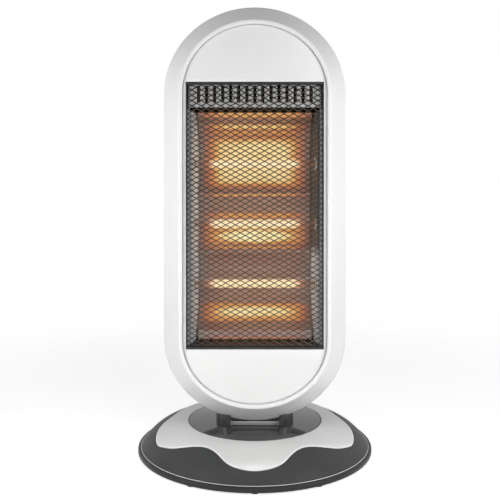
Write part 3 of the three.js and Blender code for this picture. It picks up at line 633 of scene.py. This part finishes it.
def mirror_material():
    """Brushed steel with the lamps' glow painted on it: the fainter the light, the redder."""
    material, tree, shader = node_material("mirror_glow")
    calc = partial(math_node, tree)
    axes = object_axes(tree)

    def share(value, middle, half, power):
        offset = calc("DIVIDE", calc("SUBTRACT", value, middle * MM), half * MM)
        return calc("POWER", calc("ABSOLUTE", offset), power)

    def fall_off(distance):
        return calc("EXPONENT", calc("MULTIPLY", distance, -1.0))

    ripple = noise(tree, 30, stretch=(0.6, 1, 1.6))
    height = calc("ADD", axes["Z"], calc("MULTIPLY", calc("SUBTRACT", ripple, 0.5), GLOW_WOBBLE))
    total = None
    for middle, half_height, half_width, brightness, (power_z, power_x, power) in GLOWS:
        distance = calc("ADD", share(height, middle, half_height, power_z),
                        share(axes["X"], 0, half_width, power_x))
        if power != 1:
            distance = calc("POWER", distance, power)
        glow = calc("MULTIPLY", fall_off(distance), brightness)
        total = glow if total is None else calc("MAXIMUM", total, glow)
    mottle = map_range(tree, noise(tree, 90, stretch=(0.5, 1, 1)), 0.90, 1.06)
    ambient = calc("MULTIPLY", fall_off(share(axes["X"], 0, AMBIENT_HALF, AMBIENT_POWER)), AMBIENT_GLOW)
    total = calc("MAXIMUM", calc("MULTIPLY", total, mottle), ambient)
    color = add_node(tree, "ShaderNodeCombineColor", Red=total)
    for channel, steady, rising, power in GLOW_COLORS:
        curve = calc("MULTIPLY", calc("POWER", total, power), rising)
        feed(tree, color.inputs[channel], calc("ADD", curve, calc("MULTIPLY", total, steady)))
    streaks = noise(tree, 50, stretch=(0.4, 1, 4))
    steel = clouded(tree, streaks, (0.24, 0.26, 0.24), (0.34, 0.36, 0.33))
    # where a lamp is mirrored the room is not
    room = calc("POWER", calc("SUBTRACT", 1.0, total, clamp=True), 1.5)
    set_inputs(tree, shader, Emission_Color=color.outputs["Color"], Emission_Strength=1.0,
               Base_Color=mix_colors(tree, room, (0, 0, 0, 1), steel),
               Roughness=map_range(tree, streaks, 0.26, 0.40), Metallic=0.75)
    return material


def make_mirror():
    """The three troughs again, with many more facets, as one thin sheet."""
    focus, setback, front_limit, sheet = 30 * MM, 38 * MM, -14 * MM, 1.0 * MM
    steps = 180
    face = []
    for i in range(steps + 1):
        z = MIRROR_LOW.z + (MIRROR_HIGH.z - MIRROR_LOW.z) * i / steps
        away = min(abs(z - height) for height in LAMP_HEIGHTS)
        face.append((max(front_limit, LAMP_Y + setback - away * away / (4 * focus)), z))
    back = [(y + sheet, z) for y, z in reversed(face)]
    rows = [[(x, y, z) for y, z in face + back] for x in (MIRROR_LOW.x, MIRROR_HIGH.x)]
    mirror = loft("mirror", rows, mirror_material(), sharp=30)
    dress(mirror, "head", "reflector", slot="reflector_steel")


def make_coil(number, height):
    """A wound coil on the lamp's axis with straight tails into its caps."""
    low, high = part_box(f"filament_{number}")
    lit, winding, wire = 52 * MM, 1.1 * MM, 0.32 * MM
    turns, round_steps, wire_steps = 44, 12, 6
    path = [Vector((low.x, LAMP_Y, height))]
    for i in range(turns * round_steps + 1):
        angle = 2 * math.pi * i / round_steps
        x = -lit + 2 * lit * i / (turns * round_steps)
        path.append(Vector((x, LAMP_Y + winding * math.cos(angle), height + winding * math.sin(angle))))
    path.append(Vector((high.x, LAMP_Y, height)))
    rows = []
    for i, point in enumerate(path):
        along = (path[min(i + 1, len(path) - 1)] - path[max(i - 1, 0)]).normalized()
        side = along.cross(Vector((0, 1, 0.2))).normalized()
        up = along.cross(side)
        rows.append([point + wire * (side * math.cos(a) + up * math.sin(a)) for a in circle(wire_steps)])
    coil = loft(f"coil_{number}", rows, FILAMENT, sharp=80)
    dress(coil, "head", f"filament_{number}", slot="lamp_filament")


# ---- base ----
PLATE_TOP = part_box("base_plate")[1].z
BASE_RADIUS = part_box("base_plate")[1].x
SKIRT_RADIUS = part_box("base_shell")[1].x
DISC_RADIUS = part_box("swivel_disc")[1].x
DISC_BOTTOM, DISC_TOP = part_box("swivel_disc")[0].z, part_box("swivel_disc")[1].z
WELL_RADIUS = DISC_RADIUS + 1.1 * MM
WELL_FLOOR = DISC_BOTTOM - 0.4 * MM
WELL_WALL = 2.6 * MM
SKIRT_BOTTOM = PLATE_TOP + GAP
SKIRT_EDGE = 0.6 * MM
DOME_TOP = 33 * MM
LIP_BOTTOM = 1.5 * MM
FEET = 12
FOOT_CIRCLE = BASE_RADIUS - 6 * MM
DOME_WALL = 2 * MM
DOME_SHOULDER = 0.92
TUBE_HOLE = 17.3 * MM
GLAND_RADIUS = 5.5 * MM


def dome_height(radius):
    """Falls slowly at first and then steeply, as a shoulder near the foot."""
    t = (radius - WELL_RADIUS) / (SKIRT_RADIUS - WELL_RADIUS)
    fallen = (1 - DOME_SHOULDER) * t + DOME_SHOULDER * t**3
    return DOME_TOP - (DOME_TOP - SKIRT_BOTTOM - SKIRT_EDGE) * fallen


def make_plate():
    """A pan with a lip that is rounded at its foot and its top."""
    r, top = BASE_RADIUS, PLATE_TOP
    under, floor_top, foot_round, top_round, lip_width = 3 * MM, 4.5 * MM, 1.2 * MM, 2.2 * MM, 8.6 * MM
    profile = [(0, under), (r - 4 * MM, under), (r - 3.6 * MM, LIP_BOTTOM)]
    profile += [(r - foot_round * (1 - math.sin(a)), LIP_BOTTOM + foot_round * (1 - math.cos(a)))
                for a in radians_of(0, 22, 45, 67, 90)]
    profile += [(r - top_round * (1 - math.cos(a)), top - top_round * (1 - math.sin(a)))
                for a in radians_of(0, 18, 36, 54, 72, 90)]
    profile += [(r - lip_width, top), (r - lip_width, floor_top), (0, floor_top)]
    dress(turned("base_pan", profile, LIP), "base", "base_plate", slot="base_black")


def make_rim_line():
    """A pale bead between the dome's foot and the lip, painted on as the highlight of the lip's edge."""
    middle, radius = SKIRT_RADIUS + 0.5 * MM, 0.34 * MM
    height = PLATE_TOP + radius * 0.5
    profile = [(middle + radius * math.cos(a), height + radius * math.sin(a)) for a in circle(10)]
    dress(turned("rim_highlight_line", profile, RIM_HIGHLIGHT, segments=240, sharp=80), "base", slot="base_grey")


def make_feet():
    height = 3.1 * MM
    profile = [(0, 0), (3.9 * MM, 0), (4.4 * MM, 0.3 * MM), (4.6 * MM, height), (0, height)]
    for i in range(FEET):
        angle = math.radians(360 / FEET * i)
        foot = turned(f"foot_{i + 1}", profile, BLACK, segments=24)
        offset = Vector((FOOT_CIRCLE * math.sin(angle), -FOOT_CIRCLE * math.cos(angle), 0))
        for vertex in foot.data.vertices:
            vertex.co += offset
        dress(foot, "base", slot="base_black")


def make_dome():
    """A thin dome with a flat well for the disc, and a hole for the cord's gland in its rear edge."""
    steps = 24
    outer = [SKIRT_RADIUS + (WELL_RADIUS - SKIRT_RADIUS) * i / steps for i in range(steps + 1)]
    inner = [WELL_RADIUS - DOME_WALL + (SKIRT_RADIUS - 2 * DOME_WALL - WELL_RADIUS) * i / steps
             for i in range(steps + 1)]
    profile = [(SKIRT_RADIUS, SKIRT_BOTTOM)]
    profile += [(radius, dome_height(radius)) for radius in outer]
    profile += [(WELL_RADIUS, WELL_FLOOR), (TUBE_HOLE, WELL_FLOOR), (TUBE_HOLE, WELL_FLOOR - WELL_WALL),
                (inner[0], WELL_FLOOR - WELL_WALL)]
    profile += [(radius, dome_height(radius + DOME_WALL) - DOME_WALL) for radius in inner[1:]]
    profile += [(SKIRT_RADIUS - DOME_WALL, SKIRT_BOTTOM)]
    dome = turned("dome", profile, DOME)
    middle = Vector(middle_of("cord_gland"))
    outline = [(middle.x + GLAND_RADIUS * math.cos(a), middle.z + GLAND_RADIUS * math.sin(a))
               for a in circle(32)]
    front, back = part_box("cord_gland")[0].y - 3 * MM, 150 * MM
    subtract(dome, [front_prism("gland_hole", outline, front, back, DOME)])
    dress(dome, "base", "base_shell", slot="base_grey")


TRIM_REACH = BASE_RADIUS - 14 * MM  # radius of the front tongue's tip
# How far the trim's edge is cut back from that reach, in mm, by degrees from the front.
TRIM_EDGE = [
    (0, 0), (9, 2.1), (14.5, 5.8), (21, 14.4), (26, 19.2), (32, 21.1), (38, 18.2), (44, 12.7), (50, 7.4),
    (57, 4), (63, 2.2), (70, 4.2), (78, 8.6), (86, 14.8), (94, 21.4), (102, 24.6), (115, 25),
]
PAST_EDGE = 130  # degrees; a point beyond the last, for the curve's slope there
TRIM_INNER = DISC_RADIUS + 0.5 * MM
TRIM_THICK = 1.2 * MM


def trim_radius(from_front):
    """Smooth curve through the edge's points."""
    angle = abs(from_front)
    if angle >= TRIM_EDGE[-1][0]:
        return TRIM_REACH - TRIM_EDGE[-1][1] * MM
    points = [(-TRIM_EDGE[1][0], TRIM_EDGE[1][1])] + TRIM_EDGE + [(PAST_EDGE, TRIM_EDGE[-1][1])]
    i = next(i for i in range(1, len(points) - 1) if points[i][0] <= angle < points[i + 1][0])
    (a0, c0), (a1, c1), (a2, c2), (a3, c3) = points[i - 1:i + 3]
    t = (angle - a1) / (a2 - a1)
    slope1 = (c2 - c0) / (a2 - a0) * (a2 - a1)
    slope2 = (c3 - c1) / (a3 - a1) * (a2 - a1)
    cut = ((2 * t**3 - 3 * t**2 + 1) * c1 + (t**3 - 2 * t**2 + t) * slope1
           + (3 * t**2 - 2 * t**3) * c2 + (t**3 - t**2) * slope2)
    return TRIM_REACH - cut * MM


def around(segments):
    """Degrees from the front, between -180 and 180, at equal steps around the base."""
    return [(360 * i / segments + 180) % 360 - 180 for i in range(segments)]


def on_base(radius, from_front, height):
    angle = math.radians(from_front - 90)
    return radius * math.cos(angle), radius * math.sin(angle), height


def make_trim():
    """The silver cover: it follows the dome and its edge rolls down to it."""
    lift, roll, inner_round = GAP, 1.4 * MM, 0.4 * MM
    top = lift + TRIM_THICK
    # each station: (share of the way out, offset from the outline, height over the dome)
    stations = [(share, 0, top) for share in (0.04, 0.2, 0.4, 0.6, 0.8, 0.93)]
    stations += [(1, -roll * (1 - math.sin(a)), lift + TRIM_THICK * math.cos(a) ** 0.7)
                 for a in radians_of(10, 30, 50, 70, 85)]
    stations += [(1, 0, lift), (0.5, 0, lift), (0, 0, lift), (0, 0, top - inner_round), (0.015, 0, top)]
    rows = []
    for share, offset, height in stations:
        row = []
        for from_front in around(240):
            radius = TRIM_INNER + (trim_radius(from_front) - TRIM_INNER) * share + offset
            row.append(on_base(radius, from_front, dome_height(radius) + height))
        rows.append(row)
    dress(loft("trim", rows, TRIM, ring=True, sharp=60), "base", "base_trim", slot="silver_trim")


def make_trim_bead():
    """A pale bead along the cover's rolled edge, painted on as its highlight."""
    radius = 0.6 * MM
    rows = []
    for turn in circle(8):
        row = []
        for from_front in around(360):
            reach = trim_radius(from_front) - radius
            height = dome_height(reach) + TRIM_THICK + radius * math.sin(turn)
            row.append(on_base(reach + radius * math.cos(turn), from_front, height))
        rows.append(row)
    dress(loft("trim_highlight_bead", rows, TRIM_HIGHLIGHT, ring=True, sharp=80), "base", slot="silver_trim")


def make_disc():
    r, bore, roll = DISC_RADIUS, 14.3 * MM, 0.9 * MM
    profile = [(bore, DISC_BOTTOM), (r, DISC_BOTTOM), (r, DISC_TOP - roll)]
    profile += [(r - roll + roll * math.cos(a), DISC_TOP - roll + roll * math.sin(a))
                for a in radians_of(30, 60, 90)]
    profile += [(bore, DISC_TOP)]
    dress(turned("disc", profile, DISC), "head", "swivel_disc", slot="disc_grey")


def make_neck_details():
    """The grey sill in the neck's recess and a rounded cheek at each of its ends."""
    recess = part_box("neck_column")[0].y + 6.5 * MM
    half = 28.2 * MM
    bottom, top = DISC_TOP + 0.5 * MM, DISC_TOP + 5.2 * MM
    sill = box_piece("neck_sill", (-half, recess - 0.5 * MM, bottom), (half, recess - 0.1 * MM, top), SILL)
    bevel(sill, 0.15 * MM)
    dress(sill, "head", slot="neck_black")
    reach, bulge, back, rise = 1.6 * MM, 2.4, recess - 0.6 * MM, 1.2 * MM
    for side, name in ((-1, "left"), (1, "right")):
        outline = [(side * half, back)]
        outline += [(side * (half - reach * (1 - math.sin(a))), back - reach * (1 - math.cos(a)) * bulge)
                    for a in radians_of(0, 15, 30, 45, 60, 75, 90)]
        rows = [[(x, y, z) for x, y in outline] for z in (bottom, top + rise)]
        dress(loft(f"neck_cheek_{name}", rows, SILL, sharp=60), "head", slot="neck_black")


# ---- everything in its finish ----
make_hoop()
make_panel()
make_rear_cover()
make_frame()
make_mesh()
make_vent()
make_mirror()
for number, lamp_height in zip(LAMP_NUMBERS, LAMP_HEIGHTS):
    make_coil(number, lamp_height)
make_plate()
make_rim_line()
make_feet()
make_dome()
make_trim()
make_trim_bead()
make_disc()
make_neck_details()

repaint(DEEP_BLACK, "top_shield")
repaint(SHIELD, "side_shield_left", "side_shield_right")
repaint(ENAMEL, "bottom_shield")
repaint(NECK, "neck_column")
repaint(ZINC, "heat_shield", "lamp_bracket_left", "lamp_bracket_right", "swing_motor", "pivot_tube",
        "swing_lever", "tube_nut", *[f"base_screw_{i}" for i in (1, 2, 3)],
        *[f"rear_screw_{i}" for i in (1, 2, 3, 4)])
repaint(REAR_BLACK, "hand_hold", "switch_plate")
repaint(ROCKER, "rocker_1", "rocker_2", "rocker_3")
repaint(BLACK, "cord_gland", "tip_switch_body", "thermal_cutout")
repaint(NYLON, "terminal_block", "crank", "drive_link", "tip_plunger", "pivot_bush")
for number in LAMP_NUMBERS:
    repaint(QUARTZ, f"lamp_tube_{number}")
    repaint(CERAMIC, f"lamp_cap_left_{number}", f"lamp_cap_right_{number}")

# ---- studio ----
WHITE = (1, 1, 1, 1)
WORLD_FILL = 0.12  # light that the room gives, as a share of the white that the camera sees
MIRRORED_ROOM = 0.70  # share of the white room that shows in reflections
FLOOR_PALE = 0.86
FLOOR_GLOW = 0.64
FLOOR_RADIUS, FLOOR_SIDES = 1.2, 96
FADE_START, FADE_END = 0.30, 0.95  # metres from the middle, where the floor fades out

# A key lamp and a weaker one in front, a strip and a softbox at each side, low light from the front, a rim
# lamp behind each side, and a narrow beam from above on the base, which stands in the head's shade.
# Each lamp: name, place, aim, width and height in metres, watts, and degrees of spread where it is narrow.
STUDIO_LAMPS = [
    ("front_right", (0.60, -1.20, 0.80), (0, 0, 0.36), (0.70, 0.70), 3.0),
    ("front_left", (-0.70, -1.30, 0.50), (0, 0, 0.32), (0.70, 0.90), 0.6),
    ("near_right", (0.33, -0.27, 0.30), (0.05, 0, 0.30), (0.12, 0.34), 0.78),
    ("near_left", (-0.33, -0.27, 0.30), (-0.05, 0, 0.30), (0.12, 0.34), 0.84),
    ("side_right", (1.10, -0.45, 0.42), (0, 0, 0.34), (0.60, 0.60), 1.6),
    ("side_left", (-1.10, -0.45, 0.42), (0, 0, 0.34), (0.60, 0.60), 1.6),
    ("low_front", (0, -0.95, 0.03), (0, 0, 0.08), (1.20, 0.06), 1.5),
    ("rim_right", (0.90, 0.50, 0.60), (0, 0, 0.35), (0.40, 0.70), 1.1),
    ("rim_left", (-0.90, 0.50, 0.60), (0, 0, 0.35), (0.40, 0.70), 0.9),
    ("base_beam", (0, -0.28, 0.95), (0, -0.12, 0.03), (0.15, 0.15), 0.02, 24),
]


def area_light(name, place, aim, size, watts, spread=180):
    data = bpy.data.lights.new(name, "AREA")
    data.shape = "RECTANGLE"
    data.size, data.size_y = size
    data.energy = watts
    data.spread = math.radians(spread)
    light = bpy.data.objects.new(name, data)
    light.location = place
    light.visible_camera = False
    light.rotation_euler = (Vector(aim) - Vector(place)).to_track_quat("-Z", "Y").to_euler()
    bpy.context.scene.collection.objects.link(light)


def seen(tree, mirrored):
    """1 for what the camera sees, the given share for what shows in reflections, and 0 for plain light."""
    rays = add_node(tree, "ShaderNodeLightPath").outputs
    return math_node(tree, "MAXIMUM", rays["Is Camera Ray"],
                     math_node(tree, "MULTIPLY", rays["Is Glossy Ray"], mirrored))


def make_world():
    world = bpy.data.worlds.new("studio")
    bpy.context.scene.world = world
    world.use_nodes = True
    tree = world.node_tree
    set_inputs(tree, tree.nodes["Background"], Color=WHITE,
               Strength=map_range(tree, seen(tree, MIRRORED_ROOM), WORLD_FILL, 1.0))


def make_floor():
    """A round pale floor that fades into the backdrop's white away from the heater and keeps its shadow."""
    material, tree, shader = node_material("floor")
    away = add_node(tree, "ShaderNodeVectorMath", operation="LENGTH", Vector=object_place(tree))
    fade = map_range(tree, away.outputs["Value"], 1.0, 0.0, from_min=FADE_START, from_max=FADE_END,
                     interpolation_type="SMOOTHSTEP")
    glow = math_node(tree, "MULTIPLY", seen(tree, 1.0), FLOOR_GLOW)
    set_inputs(tree, shader, Base_Color=(FLOOR_PALE, FLOOR_PALE, FLOOR_PALE, 1), Roughness=0.9,
               Specular_IOR_Level=0.1, Emission_Color=WHITE, Emission_Strength=glow, Alpha=fade)
    rim = [(FLOOR_RADIUS * math.cos(a), FLOOR_RADIUS * math.sin(a), 0) for a in circle(FLOOR_SIDES)]
    mesh_object("floor", rim, [tuple(range(FLOOR_SIDES))], material)


for settings in STUDIO_LAMPS:
    area_light(*settings)
make_world()
make_floor()

# ---- camera: where the photograph was taken from ----
CAMERA_DISTANCE = 0.85607
CAMERA_HEIGHT = 0.3042
CAMERA_PITCH = 0.44  # degrees down
FOCAL_PIXELS = 711.1
FRAME_PIXELS = 500
CENTRE_PIXEL = 254.83  # column in which the heater's axis stands
SHIFT_Y = -0.10  # share of the frame's width
SENSOR_WIDTH = 36  # mm
CLIP_START = 10 * MM

camera_data = bpy.data.cameras.new("camera")
camera_data.sensor_width = SENSOR_WIDTH
camera_data.lens = SENSOR_WIDTH * FOCAL_PIXELS / FRAME_PIXELS
camera_data.shift_x = (FRAME_PIXELS / 2 - CENTRE_PIXEL) / FRAME_PIXELS
camera_data.shift_y = SHIFT_Y
camera_data.clip_start = CLIP_START
camera = bpy.data.objects.new("camera", camera_data)
camera.location = (0, -CAMERA_DISTANCE, CAMERA_HEIGHT)
camera.rotation_euler = (math.pi / 2 - math.radians(CAMERA_PITCH), 0, 0)
bpy.context.scene.collection.objects.link(camera)
bpy.context.scene.camera = camera
bpy.context.scene.view_settings.view_transform = "Standard"
